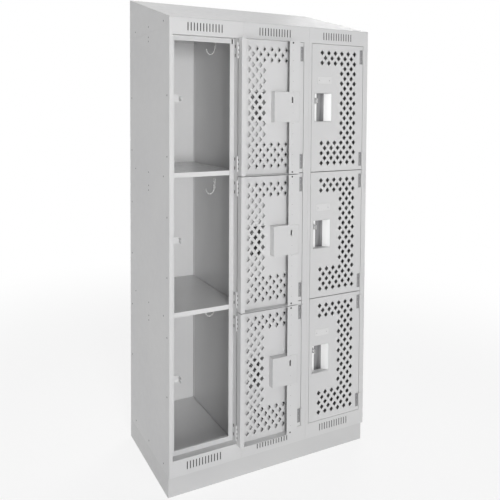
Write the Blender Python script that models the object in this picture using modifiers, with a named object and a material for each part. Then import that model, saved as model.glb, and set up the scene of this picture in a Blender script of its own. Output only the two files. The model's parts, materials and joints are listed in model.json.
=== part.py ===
"""Three-column, three-tier perforated steel locker with a sloped hood, in metres, +Z up.

X runs across the front, Y from the front to the back, Z up from the floor. The left column's doors
stand open by half a turn, the others are closed. Places inside a column are counted from its left
edge, its frame's face and the floor. A door is built about its own hinge axis.
"""

import bmesh
import bpy
from math import cos, pi, sin
from mathutils import Matrix, Vector

# Counts
columns = 3
tiers = 3
open_columns = 1
unit = 1.0
half_share = 0.5
smooth_share = 0.28
stagger_count = 2
diamond_sides = 4

# The whole locker
column_width = 0.3048
depth = 0.4572
front_height = 1.785
hood_rise = 0.138
hood_end_drop = 0.033
roof_drop = 0.015
floor_rise = 0.033

# Sheets and clearances
frame_sheet = 0.0015
body_sheet = 0.0012
gap = 0.0003
overrun = 0.006
bite = 0.0003
seam_step = 0.0001
seam_share = 0.01
fold = 0.015
shelf_lip = 0.018

# Plinth
plinth_height = 0.080
plinth_recess = 0.0126

# Doors and their places in the frame
door_left = 0.0152
hinge_side = 0.0259
sill_height = 0.0647
header_height = 0.0646
door_gap = 0.003
door_depth = 0.028
door_clearance = 0.0015
hinge_clearance = 0.002
free_lip = 0.050
hinge_lip = 0.018
shelf_above_split = 0.019

# Frame behind the doors
jamb_depth = 0.030
strike_width = 0.018
sill_ledge = 0.010

# Vents
vent_count = 12
vent_pitch = 0.0127
vent_width = 0.004
vent_height = 0.030
vent_shift = 0.0094
header_vent_drop = 0.032
sill_vent_rise = 0.034

# Perforations
hole_columns = 6
hole_rows = 12
first_hole_column = 0.051
last_hole_column = 0.0452
first_hole_row = 0.035
last_hole_row = 0.034
hole_width_share = 0.5672
hole_height_share = 0.5328
full_rows_above = 3
full_rows_below = 5
short_row_start = 3

# Recess of the latch
recess_from_edge = 0.015
recess_width = 0.085
recess_from_top = 0.201
recess_height = 0.116
recess_slant = 0.020
cover_beyond_recess = 0.0177
slot_from_edge = 0.036
slot_from_recess_top = 0.030
slot_width = 0.007
slot_height = 0.024
slot_sides = 8

# Hasps of the frame
hasp_left = 0.022
hasp_sheet = 0.002
hasp_height = 0.026
tongue_height = 0.018
tongue_front = 0.008
eye_radius = 0.0045
eye_from_front = 0.008
eye_sides = 8

# Hinges
axis_offset = 0.004
knuckle_radius = 0.0037
pin_radius = 0.0019
bore_radius = 0.0024
knuckle_height = 0.020
knuckle_count = 3
hinge_from_end = 0.045
leaf_width = 0.018
leaf_sheet = 0.0012
notch_gap = 0.0006
tab_start = 0.0011
tab_width = 0.0034
turned_sides = 8
open_turn = pi

# Coat hooks
hook_plate_width = 0.015
hook_plate_height = 0.040
hook_plate_sheet = 0.002
hook_below_roof = 0.005
hook_below_shelf = 0.038
hook_centre_depth = 0.241
hook_wire_radius = 0.0025
hook_wire_offset = 0.003
hook_bevel_count = 1
hook_wire_start = 0.028
hook_bend_start = 0.042
hook_throat = 0.038
hook_drop = 0.022
hook_arc_count = 9

# Derived places
width = columns * column_width
door_width = column_width - door_left - hinge_side
hood_end_bottom = front_height - hood_end_drop
roof_height = front_height - roof_drop
floor_height = plinth_height + floor_rise
door_bottom = plinth_height + sill_height
door_top = front_height - header_height
header_vent_height = front_height - header_vent_drop
sill_vent_height = plinth_height + sill_vent_rise
vent_centre = column_width * half_share - vent_shift
front_reach = axis_offset + axis_offset + door_depth
face_place = (front_reach - depth) * half_share
left_place = -width * half_share
knuckles_height = knuckle_height * knuckle_count
door_pitch = (door_top - door_bottom + door_gap) / tiers
door_height = door_pitch - door_gap
hole_column_pitch = (door_width - first_hole_column - last_hole_column) / (hole_columns - 1)
hole_row_pitch = (door_height - first_hole_row - last_hole_row) / (hole_rows - 1)
hole_width = hole_column_pitch * hole_width_share
hole_height = hole_row_pitch * hole_height_share
axis_place = door_left + door_width
strike_left = door_left - door_clearance + strike_width
strike_right = axis_place + hinge_clearance - strike_width
behind_strike = jamb_depth + frame_sheet + gap
frame_top = front_height - body_sheet - gap
hood_slope = hood_rise / depth
recess_top = door_height * half_share - recess_from_top
recess_bottom = recess_top - recess_height
wall_half = body_sheet * half_share


def steel_material(name, colour, roughness, metallic):
    material = bpy.data.materials.new(name)
    material.use_nodes = True
    shader = material.node_tree.nodes["Principled BSDF"]
    shader.inputs["Base Color"].default_value = (*colour, unit)
    shader.inputs["Roughness"].default_value = roughness
    shader.inputs["Metallic"].default_value = metallic
    return material


def paint_material():
    return steel_material("grey_paint", (0.60, 0.60, 0.60), 0.42, 0.0)


def bare_material():
    return steel_material("bare_steel", (0.72, 0.72, 0.71), 0.32, 1.0)


def add_box(bm, low, high):
    """A box between two corners; its vertices are returned, so that a caller can slant it."""
    made = bmesh.ops.create_cube(bm, size=unit)["verts"]
    low = Vector(low)
    high = Vector(high)
    middle = (low + high) * half_share
    size = high - low
    for vert in made:
        vert.co = Vector((vert.co.x * size.x, vert.co.y * size.y, vert.co.z * size.z)) + middle
    return made


def mesh_of(bm, name):
    mesh = bpy.data.meshes.new(name)
    bm.to_mesh(mesh)
    bm.free()
    return mesh


def boxes(name, corners):
    bm = bmesh.new()
    for low, high in corners:
        add_box(bm, low, high)
    return mesh_of(bm, name)


def box(name, low, high):
    return boxes(name, [(low, high)])


def joined(name, placed):
    """One mesh of several that don't touch, each with its own matrix."""
    bm = bmesh.new()
    for mesh, matrix in placed:
        copy = mesh.copy()
        copy.transform(matrix)
        bm.from_mesh(copy)
        bpy.data.meshes.remove(copy)
    return mesh_of(bm, name)


def moved(x=0, y=0, z=0):
    return Matrix.Translation((x, y, z))


def round_bar(name, radius, length, sides, turn):
    """A straight bar about the origin, along Z before it is turned by the matrix."""
    bm = bmesh.new()
    bmesh.ops.create_cone(
        bm, cap_ends=True, segments=sides, radius1=radius, radius2=radius, depth=length
    )
    bmesh.ops.transform(bm, matrix=turn, verts=bm.verts)
    return mesh_of(bm, name)


def evaluated_mesh(obj):
    bpy.context.view_layer.update()
    graph = bpy.context.evaluated_depsgraph_get()
    mesh = bpy.data.meshes.new_from_object(obj.evaluated_get(graph))
    bm = bmesh.new()
    bm.from_mesh(mesh)
    bmesh.ops.remove_doubles(bm, verts=bm.verts, dist=seam_step * seam_share)
    bpy.data.meshes.remove(mesh)
    return mesh_of(bm, obj.name)


def shaped(name, mesh, steps):
    """The mesh after its cuts and joins, in order; steps holds (operation, mesh) pairs."""
    obj = bpy.data.objects.new(name, mesh)
    bpy.context.scene.collection.objects.link(obj)
    helpers = []
    for number, (operation, other) in enumerate(steps):
        helper = bpy.data.objects.new(f"{name}_step_{number}", other)
        bpy.context.scene.collection.objects.link(helper)
        helper.hide_render = True
        helper.display_type = "WIRE"
        change = obj.modifiers.new(f"step_{number}", "BOOLEAN")
        change.solver = "EXACT"
        change.operation = operation
        change.object = helper
        helpers.append(helper)
    result = evaluated_mesh(obj)
    for helper in helpers:
        bpy.data.objects.remove(helper)
    bpy.data.objects.remove(obj)
    result.name = name
    return result


def turned_mesh(name, profile):
    """A mesh turned about Z from (radius, height) points, top to bottom."""
    mesh = bpy.data.meshes.new(name)
    edges = [(number, number + 1) for number in range(len(profile) - 1)]
    mesh.from_pydata([(radius, 0, height) for radius, height in profile], edges, [])
    obj = bpy.data.objects.new(name, mesh)
    bpy.context.scene.collection.objects.link(obj)
    screw = obj.modifiers.new("turn", "SCREW")
    screw.axis = "Z"
    screw.steps = turned_sides
    screw.render_steps = turned_sides
    screw.use_merge_vertices = True
    screw.merge_threshold = seam_step * seam_share
    result = evaluated_mesh(obj)
    bpy.data.objects.remove(obj)
    return result


def hinge_heights():
    """Middle of each hinge, from the middle of its door."""
    reach = door_height * half_share - hinge_from_end
    return [-reach, reach]


def door_middles():
    return [door_top - door_pitch * tier - door_height * half_share for tier in range(tiers)]


def pin_and_knuckles_mesh():
    """The frame's half of a hinge: a knuckle at each end and the pin between them."""
    end = knuckles_height * half_share
    inner = knuckle_height * half_share + gap
    return turned_mesh(
        "frame_knuckles",
        [
            (0, end),
            (knuckle_radius, end),
            (knuckle_radius, inner),
            (pin_radius, inner),
            (pin_radius, -inner),
            (knuckle_radius, -inner),
            (knuckle_radius, -end),
            (0, -end),
        ],
    )


def leaf_mesh():
    """The door's hinge leaf, cut away beside the frame's knuckles."""
    top = knuckles_height * half_share
    inner = knuckle_height * half_share
    base = box(
        "leaf",
        (-leaf_width, axis_offset - leaf_sheet, -top),
        (0, axis_offset + bite, top),
    )
    notches = boxes(
        "leaf_notches",
        [
            (
                (-knuckle_radius - notch_gap, -overrun, inner),
                (overrun, axis_offset + overrun, top + overrun),
            ),
            (
                (-knuckle_radius - notch_gap, -overrun, -top - overrun),
                (overrun, axis_offset + overrun, -inner),
            ),
        ],
    )
    return shaped("leaf", base, [("DIFFERENCE", notches)])


def diamonds():
    """(from free edge, from door top) of each hole: full rows at the ends, short ones beside the latch."""
    places = []
    lines = hole_rows + hole_rows - 1
    for line in range(lines):
        between = line % stagger_count
        whole = line < full_rows_above or line >= lines - full_rows_below
        start = 0 if whole else short_row_start
        for column in range(start, hole_columns - between):
            across = first_hole_column + hole_column_pitch * (column + between * half_share)
            places.append((across, first_hole_row + hole_row_pitch * line * half_share))
    return places


def diamond_cutters():
    length = frame_sheet + overrun + overrun
    turn = Matrix.Rotation(pi * half_share, 4, "X")
    stretch = Matrix.Diagonal((hole_width * half_share, unit, hole_height * half_share, unit))
    one = round_bar("diamond", unit, length, diamond_sides, stretch @ turn)
    middle = axis_offset + frame_sheet * half_share
    return [
        (one, moved(across - door_width, middle, door_height * half_share - down))
        for across, down in diamonds()
    ]


def door_mesh():
    """A pan folded back on all four sides, with a lip on the two long ones, about its hinge axis."""
    back = axis_offset + door_depth
    top = door_height * half_share
    sheet = frame_sheet
    base = box("door", (-door_width, axis_offset, -top), (0, back, top))
    leaf = leaf_mesh()
    knuckle = round_bar("knuckle", knuckle_radius, knuckle_height, turned_sides, Matrix())
    bore = round_bar(
        "bore", bore_radius, knuckle_height + overrun, turned_sides, Matrix()
    )
    leaves = joined("leaves", [(leaf, moved(z=place)) for place in hinge_heights()])
    knuckles = joined("knuckles", [(knuckle, moved(z=place)) for place in hinge_heights()])
    hollow = box(
        "hollow",
        (sheet - door_width, axis_offset + sheet, sheet - top),
        (-sheet, back - sheet, top - sheet),
    )
    mouth = box(
        "mouth",
        (free_lip - door_width, back - sheet - overrun, sheet - top),
        (-hinge_lip, back + overrun, top - sheet),
    )
    recess = box(
        "recess_cut",
        (
            recess_from_edge - body_sheet - gap - door_width,
            axis_offset - overrun,
            recess_bottom - body_sheet - gap,
        ),
        (
            recess_from_edge + recess_width + body_sheet + gap - door_width,
            axis_offset + sheet + overrun,
            recess_top + body_sheet + gap,
        ),
    )
    lip_notch = box(
        "lip_notch",
        (
            sheet + seam_step - door_width,
            back - sheet - overrun,
            recess_bottom - body_sheet - gap,
        ),
        (free_lip + overrun - door_width, back + overrun, recess_top + body_sheet + gap),
    )
    cuts = [(bore, moved(z=place)) for place in hinge_heights()]
    cuts += diamond_cutters()
    cuts += [(recess, moved()), (lip_notch, moved())]
    return shaped(
        "door_panel",
        base,
        [
            ("UNION", leaves),
            ("UNION", knuckles),
            ("DIFFERENCE", hollow),
            ("DIFFERENCE", mouth),
            ("DIFFERENCE", joined("door_cuts", cuts)),
        ],
    )


def slanted_box(name, low, high, low_back, high_back):
    """A box whose two sides lie elsewhere at its back than at its front."""
    bm = bmesh.new()
    for vert in add_box(bm, low, high):
        if vert.co.y < (low[1] + high[1]) * half_share:
            continue
        vert.co.x = low_back if vert.co.x < (low[0] + high[0]) * half_share else high_back
    return mesh_of(bm, name)


def slot_cutter():
    turn = Matrix.Rotation(pi * half_share, 4, "X") @ Matrix.Rotation(pi / slot_sides, 4, "Z")
    bm = bmesh.new()
    radius = slot_width * half_share
    bmesh.ops.create_cone(
        bm,
        cap_ends=True,
        segments=slot_sides,
        radius1=radius,
        radius2=radius,
        depth=body_sheet + overrun + overrun,
    )
    bmesh.ops.transform(bm, matrix=turn, verts=bm.verts)
    for vert in bm.verts:
        vert.co.z += (slot_height * half_share - radius) * (1 if vert.co.z > 0 else -1)
    middle = Vector(
        (
            slot_from_edge - door_width,
            axis_offset + door_depth - body_sheet * half_share,
            recess_top - slot_from_recess_top,
        )
    )
    bmesh.ops.translate(bm, vec=middle, verts=bm.verts)
    return mesh_of(bm, "slot")


def latch_pan_mesh():
    """The recess behind the door's opening, with a slanted wall, and the cover round it at the back."""
    front = axis_offset
    back = axis_offset + door_depth
    sheet = body_sheet
    left = frame_sheet + seam_step + gap - door_width
    wall = recess_from_edge - door_width
    right = wall + recess_width
    shift = recess_slant / (door_depth - sheet)
    cover = right + cover_beyond_recess
    block = box("pan", (left, front, recess_bottom - sheet), (cover, back, recess_top + sheet))
    cavity = slanted_box(
        "pan_cavity",
        (wall, front - overrun, recess_bottom),
        (right + shift * overrun, back - sheet, recess_top),
        wall,
        right - recess_slant,
    )
    low = recess_bottom - sheet - overrun
    high = recess_top + sheet + overrun
    tunnel = slanted_box(
        "pan_tunnel",
        (right + sheet + shift * overrun, front - overrun, recess_bottom),
        (cover - sheet, back - sheet, recess_top),
        right + sheet - recess_slant,
        cover - sheet,
    )
    door_sheet = box(
        "pan_door_sheet",
        (right + sheet, front - overrun, low),
        (cover + overrun, front + frame_sheet + gap, high),
    )
    pocket = box(
        "pan_pocket", (left - overrun, front - overrun, low), (wall - sheet, back - sheet, high)
    )
    return shaped(
        "latch_pan",
        block,
        [
            ("DIFFERENCE", cavity),
            ("DIFFERENCE", tunnel),
            ("DIFFERENCE", door_sheet),
            ("DIFFERENCE", pocket),
            ("DIFFERENCE", slot_cutter()),
        ],
    )


def hasp_mesh():
    """A bracket across the back of the strike, with a tongue forward that has a padlock eye."""
    right = door_left + slot_from_edge + hasp_sheet * half_share
    plate_front = jamb_depth + frame_sheet - bite
    back = plate_front + hasp_sheet
    top = hasp_height * half_share
    block = box("hasp", (hasp_left, tongue_front, -top), (right, back, top))
    pocket = box(
        "hasp_pocket",
        (hasp_left - overrun, tongue_front - overrun, -top - overrun),
        (right - hasp_sheet, plate_front, top + overrun),
    )
    reach = tongue_height * half_share
    trims = boxes(
        "hasp_trims",
        [
            (
                (hasp_left - overrun, tongue_front - overrun, reach),
                (right + overrun, plate_front, top + overrun),
            ),
            (
                (hasp_left - overrun, tongue_front - overrun, -top - overrun),
                (right + overrun, plate_front, -reach),
            ),
        ],
    )
    eye = round_bar(
        "eye", eye_radius, hasp_sheet + overrun, eye_sides, Matrix.Rotation(pi * half_share, 4, "Y")
    )
    eye_place = moved(right - hasp_sheet * half_share, tongue_front + eye_from_front, 0)
    return shaped(
        "hasp",
        block,
        [
            ("DIFFERENCE", pocket),
            ("DIFFERENCE", trims),
            ("DIFFERENCE", joined("eye_cut", [(eye, eye_place)])),
        ],
    )


def vent_boxes():
    first = vent_centre - vent_pitch * (vent_count - 1) * half_share
    found = []
    for height in (header_vent_height, sill_vent_height):
        for number in range(vent_count):
            middle = first + vent_pitch * number
            low = (middle - vent_width * half_share, -overrun, height - vent_height * half_share)
            high = (
                middle + vent_width * half_share,
                frame_sheet + overrun,
                height + vent_height * half_share,
            )
            found.append((low, high))
    return found


def frame_mesh():
    """One column's front frame: face, jambs, strikes, hasps and its halves of the hinges."""
    sheet = frame_sheet
    left = door_left - door_clearance
    right = axis_place + hinge_clearance
    low = door_bottom - door_clearance
    high = door_top + door_clearance
    back = jamb_depth + sheet
    bottom = plinth_height + gap
    outer_right = column_width - gap * half_share
    outer_left = gap * half_share
    base = box("frame", (outer_left, 0, bottom), (outer_right, back, frame_top))
    doorway = box("doorway", (left, -overrun, low), (right, jamb_depth, high))
    strike = box(
        "strike_opening",
        (strike_left, jamb_depth - overrun, low + strike_width),
        (strike_right, back + overrun, high - strike_width),
    )
    left_hollow = (outer_left + sheet, sheet, bottom + sheet)
    right_hollow = (right + sheet, sheet, bottom + sheet)
    hollows = boxes(
        "upright_hollows",
        [
            (left_hollow, (left - sheet, back + overrun, frame_top - sheet)),
            (right_hollow, (outer_right - sheet, back + overrun, frame_top - sheet)),
        ],
    )
    rails = boxes(
        "rail_hollows",
        [
            (
                (outer_left + sheet + seam_step, sheet, bottom + sheet),
                (outer_right - sheet - seam_step, back + overrun, low - sheet),
            ),
            (
                (outer_left + sheet + seam_step, sheet, high + sheet),
                (outer_right - sheet - seam_step, back + overrun, frame_top - sheet),
            ),
        ],
    )
    ledge = box(
        "sill_ledge",
        (strike_left + bite, jamb_depth + bite, low + strike_width - sheet + bite),
        (strike_right - bite, back + sill_ledge, low + strike_width + bite),
    )
    hasp = hasp_mesh()
    hasp_places = [moved(z=middle + recess_top - slot_from_recess_top) for middle in door_middles()]
    hasps = joined("hasps", [(hasp, place) for place in hasp_places])
    barrel = pin_and_knuckles_mesh()
    hinge_places = [
        moved(axis_place, -axis_offset, middle + height)
        for middle in door_middles()
        for height in hinge_heights()
    ]
    tab_low = (axis_place + tab_start, -axis_offset, knuckle_height * half_share + gap)
    tab_high = (axis_place + tab_start + tab_width, sheet - bite, knuckles_height * half_share)
    tab = box("tab", tab_low, tab_high)
    lower = moved(z=-knuckle_height - knuckle_height - gap)
    tabs = []
    for middle in door_middles():
        for height in hinge_heights():
            place = moved(z=middle + height)
            tabs.append((tab, place))
            tabs.append((tab, place @ lower))
    return shaped(
        "front_frame",
        base,
        [
            ("DIFFERENCE", doorway),
            ("DIFFERENCE", strike),
            ("DIFFERENCE", hollows),
            ("DIFFERENCE", rails),
            ("DIFFERENCE", boxes("vents", vent_boxes())),
            ("UNION", joined("tabs", tabs)),
            ("UNION", joined("barrels", [(barrel, place) for place in hinge_places])),
            ("UNION", ledge),
            ("UNION", hasps),
        ],
    )


def tray_mesh(name, left, right):
    """A shelf, floor or roof sheet folded down on all sides; its top lies at zero height."""
    front = behind_strike
    back = depth - body_sheet - gap
    sheet = body_sheet
    base = box(name, (left, front, -shelf_lip), (right, back, 0))
    below = box(
        f"{name}_below",
        (left + sheet, front + sheet, -shelf_lip - overrun),
        (right - sheet, back - sheet, -sheet),
    )
    return shaped(name, base, [("DIFFERENCE", below)])


def wall_faces(column):
    """Inner faces of the walls on the two sides of a column, from its left edge."""
    left = body_sheet if column == 0 else wall_half
    right = column_width - (body_sheet if column == columns - 1 else wall_half)
    return left, right


def back_panel_mesh(name, column):
    left, right = wall_faces(column)
    low = plinth_height + gap
    base = box(name, (left + gap, depth - fold, low), (right - gap, depth, roof_height))
    sheet = body_sheet
    inner = box(
        f"{name}_inner",
        (left + gap + sheet, depth - fold - overrun, low - overrun),
        (right - gap - sheet, depth - sheet, roof_height + overrun),
    )
    return shaped(name, base, [("DIFFERENCE", inner)])


def hook_mesh():
    """A wall plate with one bent prong; the wall is at zero X, the hook on its left."""
    plate = box(
        "hook_plate",
        (-hook_plate_sheet, -hook_plate_width * half_share, -hook_plate_height),
        (0, hook_plate_width * half_share, 0),
    )
    radius = hook_throat * half_share
    points = [(-hook_wire_offset, 0, -hook_wire_start)]
    for number in range(hook_arc_count):
        angle = pi * number / (hook_arc_count - 1)
        out = hook_wire_offset + radius - radius * cos(angle)
        points.append((-out, 0, -hook_bend_start - hook_drop * sin(angle)))
    curve = bpy.data.curves.new("hook_wire", "CURVE")
    curve.dimensions = "3D"
    curve.bevel_depth = hook_wire_radius
    curve.bevel_resolution = hook_bevel_count
    curve.use_fill_caps = True
    line = curve.splines.new("POLY")
    line.points.add(len(points) - 1)
    for point, place in zip(line.points, points):
        point.co = (*place, unit)
    obj = bpy.data.objects.new("hook_wire", curve)
    bpy.context.scene.collection.objects.link(obj)
    wire = evaluated_mesh(obj)
    bpy.data.objects.remove(obj)
    return shaped("coat_hook", plate, [("UNION", wire)])


def hood_underside(place):
    """Height of the hood sheet's underside at a distance behind the frame's face."""
    return front_height - body_sheet + hood_slope * place


def hood_top_mesh():
    bm = bmesh.new()
    low = (0, 0, front_height - body_sheet)
    high = (width, depth, front_height)
    for vert in add_box(bm, low, high):
        vert.co.z += hood_slope * vert.co.y
    return mesh_of(bm, "hood_top")


def hood_end_mesh():
    bm = bmesh.new()
    low = (0, gap, hood_end_bottom + gap)
    for vert in add_box(bm, low, (body_sheet, depth, roof_height)):
        if vert.co.z > hood_end_bottom + gap + overrun:
            vert.co.z = hood_underside(vert.co.y) - gap
    over_frame = box(
        "hood_end_cut",
        (-overrun, -overrun, hood_end_bottom - overrun),
        (body_sheet + overrun, behind_strike, frame_top + gap),
    )
    return shaped("hood_end", mesh_of(bm, "hood_end"), [("DIFFERENCE", over_frame)])


def hood_back_mesh():
    bm = bmesh.new()
    low = (body_sheet + gap, depth - body_sheet, roof_height + gap)
    for vert in add_box(bm, low, (width - body_sheet - gap, depth, front_height)):
        if vert.co.z > roof_height + overrun:
            vert.co.z = hood_underside(vert.co.y) - gap
    return mesh_of(bm, "hood_back")


def plinth_channel_mesh(name, front, back, open_front):
    """A channel across the foot, open towards the inside."""
    sheet = body_sheet
    top = plinth_height
    left = body_sheet + gap
    base = box(name, (left, front, 0), (width - left, back, top))
    inner_front = front - overrun if open_front else front + sheet
    inner_back = back - sheet if open_front else back + overrun
    inner = box(
        f"{name}_inner",
        (left - overrun, inner_front, sheet),
        (width - left + overrun, inner_back, top - sheet),
    )
    return shaped(name, base, [("DIFFERENCE", inner)])


def plinth_end_mesh():
    sheet = body_sheet
    base = box("plinth_end", (0, plinth_recess, 0), (fold, depth, plinth_height))
    inner = box(
        "plinth_end_inner",
        (sheet, plinth_recess - overrun, sheet),
        (fold + overrun, depth + overrun, plinth_height - sheet),
    )
    corners = boxes(
        "plinth_end_corners",
        [
            (
                (sheet + seam_step, plinth_recess - overrun, -overrun),
                (fold + overrun, plinth_recess + fold + gap, plinth_height + overrun),
            ),
            (
                (sheet + seam_step, depth - fold - gap, -overrun),
                (fold + overrun, depth + overrun, plinth_height + overrun),
            ),
        ],
    )
    return shaped("plinth_end", base, [("DIFFERENCE", inner), ("DIFFERENCE", corners)])


def smoothed(mesh):
    """Round surfaces shaded smooth, with the folded edges left sharp."""
    mesh.shade_smooth()
    mesh.set_sharp_from_angle(angle=pi * smooth_share)
    return mesh


def mirrored(name, mesh):
    copy = mesh.copy()
    copy.name = name
    copy.transform(Matrix.Scale(-1, 4, (1, 0, 0)))
    copy.flip_normals()
    return copy


def build():
    for old in list(bpy.data.objects):
        bpy.data.objects.remove(old)
    locker = bpy.data.collections.new("three_tier_locker")
    bpy.context.scene.collection.children.link(locker)
    paint = paint_material()
    bare = bare_material()

    def put(name, mesh, material, x=0, y=0, z=0, turn=0):
        """Places count from the locker's left edge and the frame's face."""
        if not mesh.materials:
            mesh.materials.append(material)
        obj = bpy.data.objects.new(name, mesh)
        obj.location = (left_place + x, face_place + y, z)
        obj.rotation_euler.z = turn
        locker.objects.link(obj)
        return obj

    walls_low = plinth_height + gap
    wall_back = depth - gap

    front = plinth_channel_mesh("plinth_front", plinth_recess, plinth_recess + fold, False)
    put("plinth_front", front, paint)
    put("plinth_back", plinth_channel_mesh("plinth_back", depth - fold, depth, True), paint)
    end = plinth_end_mesh()
    put("plinth_end_left", end, paint)
    put("plinth_end_right", mirrored("plinth_end_right", end), paint, x=width)

    side = box(
        "side_panel", (0, behind_strike, walls_low), (body_sheet, depth, hood_end_bottom)
    )
    put("side_panel_left", side, paint)
    put("side_panel_right", side, paint, x=width - body_sheet)
    partition = box(
        "partition", (-wall_half, behind_strike, walls_low), (wall_half, wall_back, roof_height)
    )
    for number in range(1, columns):
        put(f"partition_{number}", partition, paint, x=column_width * number)

    frame = smoothed(frame_mesh())
    door = smoothed(door_mesh())
    latch_pan = latch_pan_mesh()
    hook = smoothed(hook_mesh())
    shelf_heights = [
        middle - door_height * half_share - door_gap * half_share + shelf_above_split
        for middle in door_middles()[:-1]
    ]
    for column in range(columns):
        column_left = column_width * column
        label = f"c{column + 1}"
        left, right = wall_faces(column)
        side_gap = gap + body_sheet + gap
        tray = tray_mesh(f"shelf_{label}", left + side_gap, right - side_gap)
        put(f"front_frame_{label}", frame, paint, x=column_left)
        name = f"back_panel_{label}"
        put(name, back_panel_mesh(name, column), paint, x=column_left)
        put(f"roof_{label}", tray, paint, x=column_left, z=roof_height)
        put(f"floor_{label}", tray, paint, x=column_left, z=floor_height)
        ceilings = [roof_height] + shelf_heights
        for number, height in enumerate(shelf_heights):
            put(f"shelf_{label}_{number + 1}", tray, paint, x=column_left, z=height)
        turn = open_turn if column < open_columns else 0
        for tier, middle in enumerate(door_middles()):
            tag = f"{label}_{tier + 1}"
            hook_drop_below = hook_below_shelf if tier else hook_below_roof
            hook_height = ceilings[tier] - shelf_lip - hook_drop_below
            hook_x = column_left + right - gap
            put(f"coat_hook_{tag}", hook, bare, hook_x, hook_centre_depth, hook_height)
            hinge_x = column_left + axis_place
            for kind, mesh in (("door_panel", door), ("latch_pan", latch_pan)):
                put(f"{kind}_{tag}", mesh, paint, hinge_x, -axis_offset, middle, turn)

    put("hood_top", hood_top_mesh(), paint)
    hood_end = hood_end_mesh()
    put("hood_end_left", hood_end, paint)
    put("hood_end_right", hood_end, paint, x=width - body_sheet)
    put("hood_back", hood_back_mesh(), paint)


build()
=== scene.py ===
"""The looks of the three-tier locker: paint, small fittings, studio and camera.

Metres. Places on a door are counted from its free edge and its top, and its own frame has the
hinge axis as origin, so that an open door takes the same pieces as a closed one.
"""

import json
from math import cos, pi, sin

import bmesh
import bpy
from mathutils import Matrix, Vector


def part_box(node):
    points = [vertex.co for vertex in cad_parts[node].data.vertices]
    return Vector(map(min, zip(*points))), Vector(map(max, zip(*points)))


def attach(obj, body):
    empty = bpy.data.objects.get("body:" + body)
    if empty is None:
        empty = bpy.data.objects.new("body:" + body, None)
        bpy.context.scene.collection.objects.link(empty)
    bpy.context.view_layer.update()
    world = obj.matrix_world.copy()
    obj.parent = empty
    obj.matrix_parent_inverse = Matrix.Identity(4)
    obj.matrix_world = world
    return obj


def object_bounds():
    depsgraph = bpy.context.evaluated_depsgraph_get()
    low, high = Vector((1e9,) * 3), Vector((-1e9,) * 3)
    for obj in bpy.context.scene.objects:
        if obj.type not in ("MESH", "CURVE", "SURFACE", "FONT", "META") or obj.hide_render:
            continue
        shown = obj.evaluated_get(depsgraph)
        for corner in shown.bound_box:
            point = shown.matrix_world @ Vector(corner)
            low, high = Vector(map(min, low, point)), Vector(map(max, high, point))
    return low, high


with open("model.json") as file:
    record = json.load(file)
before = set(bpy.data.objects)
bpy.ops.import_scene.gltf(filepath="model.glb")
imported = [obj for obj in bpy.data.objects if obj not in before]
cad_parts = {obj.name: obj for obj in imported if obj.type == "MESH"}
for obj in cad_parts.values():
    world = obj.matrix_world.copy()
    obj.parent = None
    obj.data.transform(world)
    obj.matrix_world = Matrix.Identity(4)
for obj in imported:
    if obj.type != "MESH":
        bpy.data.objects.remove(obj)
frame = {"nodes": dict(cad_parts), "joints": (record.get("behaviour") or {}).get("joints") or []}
cad_low, cad_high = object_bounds()

half = 0.5
quarter_turn = pi * half
full_turn = pi / half
matrix_size = 4
columns = 3
tiers = 3

# Number plates
plate_width = 0.070
plate_height = 0.027
plate_sheet = 0.0006
plate_corner = 0.003
plate_from_edge = 0.063
plate_from_top = 0.1485
plate_rivet_reach = 0.0255

# Hinge leaves, of steel darkened with painted shade for the cut-out around them
leaf_width = 0.0135
leaf_height = 0.059
leaf_sheet = 0.0003
leaf_corner = 0.002
leaf_from_axis = 0.0112
leaf_front = 0.0028
leaf_from_end = 0.045
leaf_screw_pitch = 0.019

# Dark plates of painted shade that stand in for the cut-outs beside the hinge knuckles
notch_sheet = 0.0003
notch_corner = 0.0006
jamb_notch_width = 0.005
jamb_notch_height = 0.012
jamb_notch_reach = 0.0175
jamb_notch_depth = 0.025
hinge_clearance = 0.002
door_notch_width = 0.004
door_notch_height = 0.007
door_notch_reach = 0.017
door_notch_depth = 0.007

# Small fasteners
rivet_radius = 0.0021
rivet_height = 0.0007
screw_radius = 0.0033
screw_height = 0.0006
screw_slot_share = 0.16
dome_sides = 20
dome_rings = 5
corner_segments = 5
rim_segments = 2

# Dark discs of painted shade on the free lip of a door: its punched holes and its weld dimples
mark_sheet = 0.00006
corner_hole_radius = 0.0035
corner_hole_from_edge = 0.034
corner_hole_from_end = 0.008
weld_dimple_radius = 0.0013
weld_dimple_from_edge = 0.033
weld_dimple_from_top = 0.036
weld_dimple_pitch = 0.0410
weld_dimple_count = 12

# Steel liner of a latch recess, counted from the door's free edge and top
liner_sheet = 0.0003
liner_clearance = 0.0003
recess_from_edge = 0.015
recess_width = 0.085
recess_slant = 0.020
recess_from_top = 0.201
recess_height = 0.116
recess_back = 0.0297
liner_round = 0.014
liner_steps = 8
# where the liner's painted highlight on its back ends and its painted dark reflection begins
liner_highlight_to = 0.043
slot_from_edge = 0.036
slot_from_recess_top = 0.030
slot_width = 0.007
slot_height = 0.024

# Dark sheets of painted shade behind the vents, standing in for the unlit inside: the real locker
# has none.
# Places count from the column's left and from the frame's top or bottom.
shade_sheet_width = 0.154
shade_sheet_height = 0.036
shade_sheet_thickness = 0.0003
shade_sheet_corner = 0.0005
shade_sheet_behind_face = 0.0023
shade_sheet_from_left = 0.143
header_shade_sheet_drop = 0.032
sill_shade_sheet_rise = 0.034

# Screws of the coat hooks
hook_plate_sheet = 0.002
hook_screw_radius = 0.0026
hook_screw_height = 0.0008
hook_screw_drops = (0.006, 0.024)

# Dark plate of painted shade that stands in for the open corner between the header's strike and the
# jamb
strike_front = 0.030
strike_gap_width = 0.005
strike_gap_height = 0.018
strike_gap_sheet = 0.0004
strike_gap_corner = 0.0005
strike_gap_from_left = 0.272
strike_gap_from_top = 0.072

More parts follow.
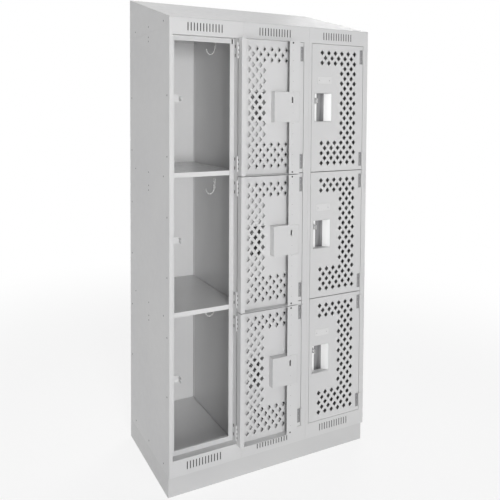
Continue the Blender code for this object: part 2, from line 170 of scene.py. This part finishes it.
# Fasteners of the shell, behind the frame's face or above the ground. Those of the left side
# follow the photograph, and the other sides repeat them or are guessed.
front_line = 0.024
back_line = 0.433
line_top = 1.501
line_pitch = 0.2244
line_count = 6
cross_lines = (0.060, 0.222, 0.384)
hood_line_height = 1.776
shelf_line_height = 1.201
lower_shelf_line_height = 0.675
floor_line_height = 0.106
hook_screw_heights = (1.735, 1.719, 1.148, 1.129, 0.622, 0.603)
back_edge_line = 0.008
back_line_top = 1.700
back_line_pitch = 0.3175
back_line_count = 6

# Powder coats: material, light tone, dark tone, lowest and highest roughness.
# The inner coats are lighter than the outer one to make up for the light inside: the photograph
# doesn't show a different paint there.
coats = {
    "paint": ("grey_powder_coat", (0.63, 0.63, 0.63), (0.60, 0.60, 0.605), 0.36, 0.48),
    "inside": ("inner_coat_painted_light", (0.68, 0.68, 0.68), (0.65, 0.65, 0.655), 0.17, 0.25),
    "back": ("back_coat_painted_light", (0.74, 0.74, 0.74), (0.71, 0.71, 0.715), 0.17, 0.25),
    "plinth": ("plinth_powder_coat", (0.59, 0.59, 0.59), (0.56, 0.56, 0.565), 0.36, 0.48),
    "pan": ("pan_powder_coat", (0.62, 0.62, 0.62), (0.58, 0.58, 0.585), 0.30, 0.40),
    "plate": ("plate_lacquer", (0.68, 0.68, 0.68), (0.65, 0.65, 0.65), 0.28, 0.36),
    # dark grey discs: painted shade for the weld dimples
    "mark": ("weld_dimple_shade", (0.34, 0.34, 0.34), (0.28, 0.28, 0.28), 0.36, 0.48),
}

# Metals: material, light tone, dark tone, roughness range, grain's spread, share of metal
lengthwise = (9, 9, 1)
even = (6, 6, 6)
hook_grain = (5, 5, 1)
metals = {
    # The liner's two tones are painted light: a painted highlight, and a painted dark reflection on
    # its back.
    "liner": ("painted_highlight_stainless", (0.90, 0.90, 0.90), (0.87, 0.87, 0.87), (0.36, 0.42),
              lengthwise, 0.4),
    "liner_back_painted_reflection": ("painted_reflection_stainless", (0.27, 0.27, 0.275), (0.13, 0.13, 0.135), (0.30, 0.42),
                   lengthwise, 1),
    # Hinge leaves: steel darkened with painted shade for the cut-out they sit in
    "leaf": ("hinge_steel_painted_shade", (0.33, 0.33, 0.335), (0.26, 0.26, 0.265), (0.36, 0.50),
             lengthwise, 1),
    "rivet": ("rivet_steel", (0.45, 0.45, 0.46), (0.34, 0.34, 0.35), (0.30, 0.42), even, 1),
    "screw": ("screw_steel", (0.22, 0.22, 0.225), (0.14, 0.14, 0.145), (0.40, 0.55), even, 1),
    "hook": ("zinc_plate", (0.93, 0.93, 0.92), (0.86, 0.86, 0.85), (0.20, 0.32),
             hook_grain, 0.3),
}
# Painted shade for holes, cut-outs, gaps and the sheets behind the vents
hole_light = (0.03, 0.03, 0.032)
hole_dark = (0.012, 0.012, 0.013)
hole_roughness = 0.9

# Noises: scale and detail; reliefs: strength, distance and the radius of soft edges
unscaled = (1, 1, 1)
noise_low = 0.35
noise_high = 0.65
drift_noise = (2.3, 4)
marks_noise = (38, 6)
peel_noise = (900, 2)
line_noise = (60, 4)
cloud_noise = (9, 3)
hole_noise = (600, 2)
peel_relief = (0.16, 0.0003, 0.0007)
line_relief = (0.12, 0.0002, 0.0003)
bevel_samples = 4

# Camera, matched to the photograph's frame of 500 by 500 pixels
photo_side = 500
sensor_width = 36
focal_pixels = 553.28
principal_x = 198.44
principal_y = 135.53
camera_from_corner = Vector((-0.74567, -1.85654, 1.43451))
camera_yaw = 0.43449
camera_pitch = -0.03949
camera_roll = 0.00221
camera_near = 0.05

# Studio
white = (1, 1, 1, 1)
floor_size = 60
floor_tone = (0.95, 0.95, 0.95, 1)
floor_roughness = 0.9
floor_glow_near = 0.80
floor_glow_from = 1.2
floor_glow_to = 3.2
light_target = Vector((0, 0, 0.95))
lights = {
    "key_light": (Vector((-1.2, -5.2, 1.3)), 1.5, 152),
    "upper_light": (Vector((-0.3, -3.0, 4.5)), 2.5, 28),
    "left_light": (Vector((-5.0, -1.0, 1.8)), 2.5, 62),
    "top_light": (Vector((0.3, 1.6, 5.0)), 2.5, 45),
    "back_light": (Vector((4.2, 3.4, 2.6)), 2.5, 95),
}
world_strength = 0.12


def node_tree(name):
    material = bpy.data.materials.new(name)
    material.use_nodes = True
    tree = material.node_tree
    return material, tree, tree.nodes["Principled BSDF"]


def coordinates(tree, scale):
    """Places on the object in metres, scaled, so grain has its real size on every piece."""
    place = tree.nodes.new("ShaderNodeTexCoord")
    spread = tree.nodes.new("ShaderNodeMapping")
    spread.inputs["Scale"].default_value = scale
    tree.links.new(place.outputs["Object"], spread.inputs["Vector"])
    return spread.outputs["Vector"]


def noise(tree, vector, scale, detail):
    texture = tree.nodes.new("ShaderNodeTexNoise")
    texture.inputs["Scale"].default_value = scale
    texture.inputs["Detail"].default_value = detail
    tree.links.new(vector, texture.inputs["Vector"])
    return texture.outputs["Fac"]


def spread_over(tree, source, low, high):
    """A value between low and high that follows a noise."""
    change = tree.nodes.new("ShaderNodeMapRange")
    change.inputs["From Min"].default_value = noise_low
    change.inputs["From Max"].default_value = noise_high
    change.inputs["To Min"].default_value = low
    change.inputs["To Max"].default_value = high
    tree.links.new(source, change.inputs["Value"])
    return change.outputs["Result"]


def colour_between(tree, source, first, second):
    ramp = tree.nodes.new("ShaderNodeValToRGB")
    ramp.color_ramp.elements[0].position = noise_low
    ramp.color_ramp.elements[1].position = noise_high
    ramp.color_ramp.elements[0].color = (*first, 1)
    ramp.color_ramp.elements[1].color = (*second, 1)
    tree.links.new(source, ramp.inputs["Fac"])
    return ramp.outputs["Color"]


def bumped(tree, shader, height, strength, distance, edge_radius):
    """Fine relief over softly rounded edges."""
    edge = tree.nodes.new("ShaderNodeBevel")
    edge.samples = bevel_samples
    edge.inputs["Radius"].default_value = edge_radius
    bump = tree.nodes.new("ShaderNodeBump")
    bump.inputs["Strength"].default_value = strength
    bump.inputs["Distance"].default_value = distance
    tree.links.new(height, bump.inputs["Height"])
    tree.links.new(edge.outputs["Normal"], bump.inputs["Normal"])
    tree.links.new(bump.outputs["Normal"], shader.inputs["Normal"])


def powder_coat(name, light, dark, smoothest, roughest):
    """Satin powder coat: an orange-peel skin, faint handling marks and a slow drift in tone."""
    material, tree, shader = node_tree(name)
    place = coordinates(tree, unscaled)
    drift = noise(tree, place, *drift_noise)
    marks = noise(tree, place, *marks_noise)
    peel = noise(tree, place, *peel_noise)
    tree.links.new(colour_between(tree, drift, dark, light), shader.inputs["Base Color"])
    roughness = spread_over(tree, marks, smoothest, roughest)
    tree.links.new(roughness, shader.inputs["Roughness"])
    shader.inputs["Metallic"].default_value = 0
    bumped(tree, shader, peel, *peel_relief)
    return material


def brushed_metal(name, light, dark, roughness_range, grain, metal_share):
    """Bare or plated steel, drawn along one way by a stretched grain."""
    material, tree, shader = node_tree(name)
    lines = noise(tree, coordinates(tree, grain), *line_noise)
    cloud = noise(tree, coordinates(tree, grain), *cloud_noise)
    tree.links.new(colour_between(tree, cloud, dark, light), shader.inputs["Base Color"])
    tree.links.new(spread_over(tree, lines, *roughness_range), shader.inputs["Roughness"])
    shader.inputs["Metallic"].default_value = metal_share
    bumped(tree, shader, lines, *line_relief)
    return material


def painted_hole_shade():
    """Painted shade for what shows in a small punched hole, a cut-out or a gap: dull and nearly
    black.
    """
    material, tree, shader = node_tree("hole_painted_shade")
    shade = noise(tree, coordinates(tree, unscaled), *hole_noise)
    colour = colour_between(tree, shade, hole_dark, hole_light)
    tree.links.new(colour, shader.inputs["Base Color"])
    shader.inputs["Roughness"].default_value = hole_roughness
    return material


def turned(angle, axis="Z"):
    return Matrix.Rotation(angle, matrix_size, axis)


def mesh_from(bm, name):
    mesh = bpy.data.meshes.new(name)
    bm.to_mesh(mesh)
    bm.free()
    return mesh


def plate_mesh(name, width, height, sheet, corner):
    """A plate in XZ with round corners and a soft front edge; its back lies at zero Y."""
    bm = bmesh.new()
    bmesh.ops.create_cube(bm, size=1)
    for vert in bm.verts:
        vert.co = Vector((vert.co.x * width, (vert.co.y - half) * sheet, vert.co.z * height))
    sides = [
        edge for edge in bm.edges if abs(edge.verts[0].co.y - edge.verts[1].co.y) > sheet * half
    ]
    bmesh.ops.bevel(
        bm, geom=sides, offset=corner, segments=corner_segments, affect="EDGES", profile=half
    )
    rim = [
        edge
        for edge in bm.edges
        if all(vert.co.y < -sheet * half for vert in edge.verts) and len(edge.link_faces) == 2
    ]
    bmesh.ops.bevel(
        bm, geom=rim, offset=sheet * half, segments=rim_segments, affect="EDGES", profile=half
    )
    return mesh_from(bm, name)


def dome_mesh(name, radius, height, slot_share=0):
    """A low round head that rises towards -Y from zero Y, with a slot across it if asked."""
    bm = bmesh.new()
    rings = []
    for ring in range(dome_rings):
        rise = quarter_turn * ring / dome_rings
        reach = radius * cos(rise)
        rings.append([])
        for side in range(dome_sides):
            turn = full_turn * side / dome_sides
            place = (reach * cos(turn), -height * sin(rise), reach * sin(turn))
            rings[-1].append(bm.verts.new(place))
    top = bm.verts.new((0, -height, 0))
    for lower, upper in zip(rings, rings[1:]):
        for side in range(dome_sides):
            after = (side + 1) % dome_sides
            bm.faces.new((lower[side], lower[after], upper[after], upper[side]))
    for side in range(dome_sides):
        bm.faces.new((rings[-1][side], rings[-1][(side + 1) % dome_sides], top))
    bm.faces.new(list(reversed(rings[0])))
    bmesh.ops.recalc_face_normals(bm, faces=bm.faces)
    if slot_share:
        for vert in bm.verts:
            if abs(vert.co.z) < radius * slot_share and vert.co.y < 0:
                vert.co.y *= half
    mesh = mesh_from(bm, name)
    mesh.shade_smooth()
    return mesh


def disc_mesh(name, radius):
    """A thin round mark in XZ towards +Y from zero Y."""
    bm = bmesh.new()
    bmesh.ops.create_cone(
        bm,
        cap_ends=True,
        segments=dome_sides,
        radius1=radius,
        radius2=radius,
        depth=mark_sheet,
    )
    upright = Matrix.Translation((0, mark_sheet * half, 0)) @ turned(quarter_turn, "X")
    bmesh.ops.transform(bm, matrix=upright, verts=bm.verts)
    return mesh_from(bm, name)


def liner_profile(door):
    """(across from the free edge, behind the axis) along the recess, from its rounded left side."""
    back = recess_back - liner_sheet - liner_clearance
    start = recess_from_edge + liner_clearance + liner_sheet
    points = []
    for step in range(liner_steps + 1):
        angle = quarter_turn * step / liner_steps
        across = start + liner_round * (1 - cos(angle))
        points.append((across, back - liner_round * (1 - sin(angle))))
    for side in (-1, 1):
        points.append((slot_from_edge + side * slot_width * half, back))
    points.append((liner_highlight_to, back))
    right = recess_from_edge + recess_width - liner_sheet - liner_clearance
    points.append((right - recess_slant, back))
    points.append((right, door.face + liner_clearance))
    return points


def liner_mesh(door, looks):
    """A folded sheet over the recess's back and slanted wall, with the slot left open, in a painted
    highlight and, on its back, a painted dark reflection.
    """
    slot_row = 1
    slot_column = liner_steps + 1
    painted_highlight_column = slot_column + 1
    painted_reflection_column = painted_highlight_column + 1
    profile = liner_profile(door)
    top = -recess_from_top - liner_clearance
    slot_top = -recess_from_top - slot_from_recess_top + slot_height * half
    bottom = -recess_from_top - recess_height + liner_clearance
    rows = (bottom, slot_top - slot_height, slot_top, top)
    bm = bmesh.new()
    grid = [[bm.verts.new((across, behind, row)) for row in rows] for across, behind in profile]
    for column, (near, far) in enumerate(zip(grid, grid[1:])):
        for row in range(len(rows) - 1):
            if (column, row) == (slot_column, slot_row):
                continue
            face = bm.faces.new((near[row], far[row], far[row + 1], near[row + 1]))
            # the back beside the slot takes the painted dark reflection, the rest the painted
            # highlight
            face.material_index = 1 if column == painted_reflection_column else 0
            face.smooth = column < liner_steps
    mesh = mesh_from(bm, "recess_liner")
    mesh.materials.append(looks["liner"])
    mesh.materials.append(looks["liner_back_painted_reflection"])
    return mesh


def put(name, mesh, place, material, body):
    """A piece at a place in the row frame, riding on a body."""
    if not mesh.materials:
        mesh.materials.append(material)
    obj = bpy.data.objects.new(name, mesh)
    bpy.context.scene.collection.objects.link(obj)
    obj.matrix_world = place
    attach(obj, body)
    return obj


class Door:
    """Sizes and places of one door, read from the frame."""

    def __init__(self, column, tier):
        self.tag = f"c{column}_{tier}"
        self.body = f"door_{self.tag}"
        joint = next(other for other in frame["joints"] if other["child"] == self.body)
        self.axis = Vector(joint["pos_m"])
        pan_low, pan_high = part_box(f"latch_pan_{self.tag}")
        low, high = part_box(f"door_panel_{self.tag}")
        is_open = (pan_low.x + pan_high.x) * half > self.axis.x
        self.width = high.x - self.axis.x if is_open else self.axis.x - low.x
        self.height = high.z - low.z
        self.face = self.axis.y - pan_high.y if is_open else pan_low.y - self.axis.y
        self.back = self.axis.y - pan_low.y if is_open else pan_high.y - self.axis.y
        self.matrix = Matrix.Translation(self.axis) @ turned(pi if is_open else 0)

    def at(self, from_edge, y, from_top):
        place = (from_edge - self.width, y, self.height * half - from_top)
        return self.matrix @ Matrix.Translation(place)

    def by_hinge(self, from_axis, y, height):
        return self.matrix @ Matrix.Translation((-from_axis, y, height))


def add_number_plate(door, meshes, looks):
    plate = door.at(plate_from_edge, door.face, plate_from_top)
    put(f"number_plate_{door.tag}", meshes["plate"], plate, looks["plate"], door.body)
    for side in (-1, 1):
        across = plate_from_edge + side * plate_rivet_reach
        place = door.at(across, door.face - plate_sheet, plate_from_top)
        name = f"plate_rivet_{door.tag}_{side}"
        put(name, meshes["rivet"], place, looks["rivet"], door.body)


def add_liner(door, mesh, looks):
    place = door.at(0, 0, 0)
    liner = put(f"recess_liner_{door.tag}", mesh, place, looks["liner"], door.body)
    thickness = liner.modifiers.new("sheet", "SOLIDIFY")
    thickness.thickness = liner_sheet


def add_hinge_leaves(door, meshes, looks):
    for end in (-1, 1):
        middle = end * (door.height * half - leaf_from_end)
        place = door.by_hinge(leaf_from_axis, leaf_front, middle)
        name = f"hinge_leaf_{door.tag}_{end}"
        put(name, meshes["leaf"], place, looks["leaf"], door.body)
        for row in (-1, 0, 1):
            height = middle + row * leaf_screw_pitch
            place = door.by_hinge(leaf_from_axis, leaf_front - leaf_sheet, height)
            put(f"{name}_screw_{row}", meshes["rivet"], place, looks["rivet"], door.body)


def add_hinge_notches(door, meshes, looks):
    """Dark plates of painted shade for the cut-outs beside a hinge: three on the door, two on the
    jamb.
    """
    edge = turned(quarter_turn)
    jamb = Matrix.Translation((door.axis.x + hinge_clearance, door.axis.y, door.axis.z))
    for end in (-1, 1):
        middle = end * (door.height * half - leaf_from_end)
        for row in (-1, 0, 1):
            place = door.by_hinge(0, door_notch_depth, middle + row * door_notch_reach)
            name = f"door_notch_{door.tag}_{end}_{row}"
            put(name, meshes["door_notch"], place @ edge, looks["hole"], door.body)
        for row in (-1, 1):
            rise = middle + row * jamb_notch_reach
            place = jamb @ Matrix.Translation((0, jamb_notch_depth, rise)) @ edge.inverted()
            name = f"jamb_notch_{door.tag}_{end}_{row}"
            put(name, meshes["jamb_notch"], place, looks["hole"], "cabinet")


def add_lip_marks(door, meshes, looks):
    """Dark discs of painted shade for the punched holes and the weld dimples on the free lip, which
    show on an open door.
    """
    for end, down in enumerate((corner_hole_from_end, door.height - corner_hole_from_end)):
        place = door.at(corner_hole_from_edge, door.back, down)
        name = f"lip_hole_{door.tag}_{end}"
        put(name, meshes["corner_hole"], place, looks["hole"], door.body)
    for row in range(weld_dimple_count):
        down = weld_dimple_from_top + weld_dimple_pitch * row
        place = door.at(weld_dimple_from_edge, door.back, down)
        name = f"weld_dimple_shade_{door.tag}_{row}"
        put(name, meshes["weld_dimple_shade"], place, looks["mark"], door.body)


def add_hook_screws(door, mesh, looks):
    """Two screws on the plate of the compartment's coat hook, which faces left."""
    low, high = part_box(f"coat_hook_{door.tag}")
    turn = turned(-quarter_turn)
    for number, drop in enumerate(hook_screw_drops):
        place = Vector((high.x - hook_plate_sheet, (low.y + high.y) * half, high.z - drop))
        name = f"hook_screw_{door.tag}_{number}"
        put(name, mesh, Matrix.Translation(place) @ turn, looks["rivet"], "cabinet")


def add_strike_gap(column, mesh, looks):
    """A dark plate of painted shade for the open corner between the header's strike and the jamb.
    """
    frame_low, frame_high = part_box(f"front_frame_c{column}")
    place = (
        frame_low.x + strike_gap_from_left,
        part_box("hood_top")[0].y + strike_front,
        frame_high.z - strike_gap_from_top,
    )
    name = f"strike_gap_c{column}"
    put(name, mesh, Matrix.Translation(place), looks["hole"], "cabinet")


def add_vent_shade_sheets(column, mesh, looks):
    """A dark sheet of painted shade close behind each row of vents."""
    low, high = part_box(f"front_frame_c{column}")
    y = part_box("hood_top")[0].y + shade_sheet_behind_face
    heights = {"header": high.z - header_shade_sheet_drop, "sill": low.z + sill_shade_sheet_rise}
    for name, height in heights.items():
        place = Matrix.Translation((low.x + shade_sheet_from_left, y, height))
        put(f"vent_painted_shade_{name}_c{column}", mesh, place, looks["hole"], "cabinet")


def side_fasteners():
    """(behind the face, above the floor) of each screw of a side, ends and hood."""
    lines = [line_top - line_pitch * number for number in range(line_count)]
    places = [(across, height) for across in (front_line, back_line) for height in lines]
    rows = (hood_line_height, shelf_line_height, lower_shelf_line_height, floor_line_height)
    places += [(across, height) for height in rows for across in cross_lines]
    places += [(cross_lines[1], height) for height in hook_screw_heights]
    return places


def add_shell_fasteners(mesh, looks):
    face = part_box("hood_top")[0].y
    sides = (("left", cad_low.x, -1), ("right", cad_high.x, 1))
    for name, x, side in sides:
        turn = turned(side * quarter_turn)
        for number, (across, height) in enumerate(side_fasteners()):
            place = Matrix.Translation((x, face + across, height)) @ turn
            put(f"side_screw_{name}_{number}", mesh, place, looks["screw"], "cabinet")
    turn = turned(pi)
    for column in range(1, columns + 1):
        low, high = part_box(f"back_panel_c{column}")
        for side, x in enumerate((low.x + back_edge_line, high.x - back_edge_line)):
            for row in range(back_line_count):
                height = back_line_top - back_line_pitch * row
                place = Matrix.Translation((x, high.y, height)) @ turn
                name = f"back_screw_{column}_{side}_{row}"
                put(name, mesh, place, looks["screw"], "cabinet")


def paint_nodes(looks):
    """Every carried-over solid gets its finish."""
    for name, node in frame["nodes"].items():
        if name.startswith("coat_hook"):
            look = looks["hook"]
        elif name.startswith("plinth"):
            look = looks["plinth"]
        elif name.startswith("latch_pan"):
            look = looks["pan"]
        # The lighter inner coats are painted light for the dim inside.
        elif name.startswith(("back_panel", "floor")):
            look = looks["back"]
        elif name.startswith(("partition", "shelf", "roof")):
            look = looks["inside"]
        else:
            look = looks["paint"]
        node.data.materials.clear()
        node.data.materials.append(look)


def aimed(place, target):
    return (target - place).to_track_quat("-Z", "Y").to_euler()


def add_light(name, place, size, power):
    lamp = bpy.data.lights.new(name, "AREA")
    lamp.shape = "SQUARE"
    lamp.size = size
    lamp.energy = power
    obj = bpy.data.objects.new(name, lamp)
    obj.location = place
    obj.rotation_euler = aimed(place, light_target)
    bpy.context.scene.collection.objects.link(obj)


def seen_rays(tree):
    """One for what the camera, a reflection or glass sees, nothing for what lights the scene."""
    path = tree.nodes.new("ShaderNodeLightPath")
    total = path.outputs["Is Camera Ray"]
    for name in ("Is Glossy Ray", "Is Transmission Ray"):
        either = tree.nodes.new("ShaderNodeMath")
        either.operation = "MAXIMUM"
        tree.links.new(total, either.inputs[0])
        tree.links.new(path.outputs[name], either.inputs[1])
        total = either.outputs[0]
    return total


def add_world():
    """An even pale room, white where the camera or a reflection sees it."""
    world = bpy.data.worlds.new("studio")
    bpy.context.scene.world = world
    world.use_nodes = True
    tree = world.node_tree
    sky = tree.nodes["Background"]
    sky.inputs["Color"].default_value = white
    sky.inputs["Strength"].default_value = world_strength
    seen = tree.nodes.new("ShaderNodeBackground")
    seen.inputs["Color"].default_value = white
    seen.inputs["Strength"].default_value = 1
    mix = tree.nodes.new("ShaderNodeMixShader")
    tree.links.new(seen_rays(tree), mix.inputs[0])
    tree.links.new(sky.outputs[0], mix.inputs[1])
    tree.links.new(seen.outputs[0], mix.inputs[2])
    tree.links.new(mix.outputs[0], tree.nodes["World Output"].inputs["Surface"])


def add_floor():
    """A pale floor that fades into the backdrop and keeps the object's shadow."""
    bm = bmesh.new()
    bmesh.ops.create_grid(bm, x_segments=1, y_segments=1, size=floor_size * half)
    mesh = mesh_from(bm, "studio_floor")
    material, tree, shader = node_tree("studio_floor")
    shader.inputs["Base Color"].default_value = floor_tone
    shader.inputs["Roughness"].default_value = floor_roughness
    glow = tree.nodes.new("ShaderNodeEmission")
    glow.inputs["Strength"].default_value = 1
    place = tree.nodes.new("ShaderNodeTexCoord")
    reach = tree.nodes.new("ShaderNodeVectorMath")
    reach.operation = "LENGTH"
    tree.links.new(place.outputs["Object"], reach.inputs[0])
    fade = tree.nodes.new("ShaderNodeMapRange")
    fade.interpolation_type = "SMOOTHSTEP"
    fade.inputs["From Min"].default_value = floor_glow_from
    fade.inputs["From Max"].default_value = floor_glow_to
    fade.inputs["To Min"].default_value = floor_glow_near
    tree.links.new(reach.outputs["Value"], fade.inputs["Value"])
    share = tree.nodes.new("ShaderNodeMath")
    share.operation = "MULTIPLY"
    tree.links.new(fade.outputs["Result"], share.inputs[1])
    mix = tree.nodes.new("ShaderNodeMixShader")
    tree.links.new(seen_rays(tree), share.inputs[0])
    tree.links.new(share.outputs[0], mix.inputs[0])
    tree.links.new(shader.outputs[0], mix.inputs[1])
    tree.links.new(glow.outputs[0], mix.inputs[2])
    tree.links.new(mix.outputs[0], tree.nodes["Material Output"].inputs["Surface"])
    mesh.materials.append(material)
    obj = bpy.data.objects.new("studio_floor", mesh)
    bpy.context.scene.collection.objects.link(obj)


def add_camera():
    """The photograph's view: measured from the foot of the frame's left front corner."""
    hood_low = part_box("hood_top")[0]
    corner = Vector((hood_low.x, hood_low.y, 0))
    ahead = Vector(
        (
            sin(camera_yaw) * cos(camera_pitch),
            cos(camera_yaw) * cos(camera_pitch),
            sin(camera_pitch),
        )
    )
    level = Vector((cos(camera_yaw), -sin(camera_yaw), 0))
    upright = level.cross(ahead)
    right = level * cos(camera_roll) + upright * sin(camera_roll)
    above = upright * cos(camera_roll) - level * sin(camera_roll)
    data = bpy.data.cameras.new("camera")
    data.sensor_width = sensor_width
    data.lens = focal_pixels / photo_side * sensor_width
    data.shift_x = half - principal_x / photo_side
    data.shift_y = principal_y / photo_side - half
    data.clip_start = camera_near
    data.clip_end = floor_size
    camera = bpy.data.objects.new("camera", data)
    bpy.context.scene.collection.objects.link(camera)
    turn = Matrix((right, above, -ahead)).transposed()
    camera.matrix_world = Matrix.Translation(corner + camera_from_corner) @ turn.to_4x4()
    bpy.context.scene.camera = camera


def all_looks():
    looks = {key: powder_coat(*coat) for key, coat in coats.items()}
    looks |= {key: brushed_metal(*metal) for key, metal in metals.items()}
    looks["hole"] = painted_hole_shade()
    return looks


def fitting_meshes():
    """The shared meshes of the small pieces."""
    return {
        "plate": plate_mesh("number_plate", plate_width, plate_height, plate_sheet, plate_corner),
        "leaf": plate_mesh("hinge_leaf", leaf_width, leaf_height, leaf_sheet, leaf_corner),
        "rivet": dome_mesh("rivet", rivet_radius, rivet_height),
        "hook_screw": dome_mesh(
            "hook_screw", hook_screw_radius, hook_screw_height, screw_slot_share
        ),
        "door_notch": plate_mesh(
            "door_notch", door_notch_width, door_notch_height, notch_sheet, notch_corner
        ),
        "jamb_notch": plate_mesh(
            "jamb_notch", jamb_notch_width, jamb_notch_height, notch_sheet, notch_corner
        ),
        "vent_painted_shade": plate_mesh(
            "vent_painted_shade", shade_sheet_width, shade_sheet_height, shade_sheet_thickness, shade_sheet_corner
        ),
        "strike_gap": plate_mesh(
            "strike_gap",
            strike_gap_width,
            strike_gap_height,
            strike_gap_sheet,
            strike_gap_corner,
        ),
        "corner_hole": disc_mesh("corner_hole", corner_hole_radius),
        "weld_dimple_shade": disc_mesh("weld_dimple_shade", weld_dimple_radius),
        "shell_screw": dome_mesh("shell_screw", screw_radius, screw_height, screw_slot_share),
    }


def build():
    looks = all_looks()
    meshes = fitting_meshes()
    liner = liner_mesh(Door(1, 1), looks)
    paint_nodes(looks)
    for column in range(1, columns + 1):
        add_strike_gap(column, meshes["strike_gap"], looks)
        add_vent_shade_sheets(column, meshes["vent_painted_shade"], looks)
        for tier in range(1, tiers + 1):
            door = Door(column, tier)
            add_liner(door, liner, looks)
            add_hook_screws(door, meshes["hook_screw"], looks)
            add_hinge_notches(door, meshes, looks)
            add_number_plate(door, meshes, looks)
            add_hinge_leaves(door, meshes, looks)
            add_lip_marks(door, meshes, looks)
    add_shell_fasteners(meshes["shell_screw"], looks)
    add_world()
    add_floor()
    for name, (place, size, power) in lights.items():
        add_light(name, place, size, power)
    add_camera()
    bpy.context.scene.view_settings.view_transform = "Standard"


build()
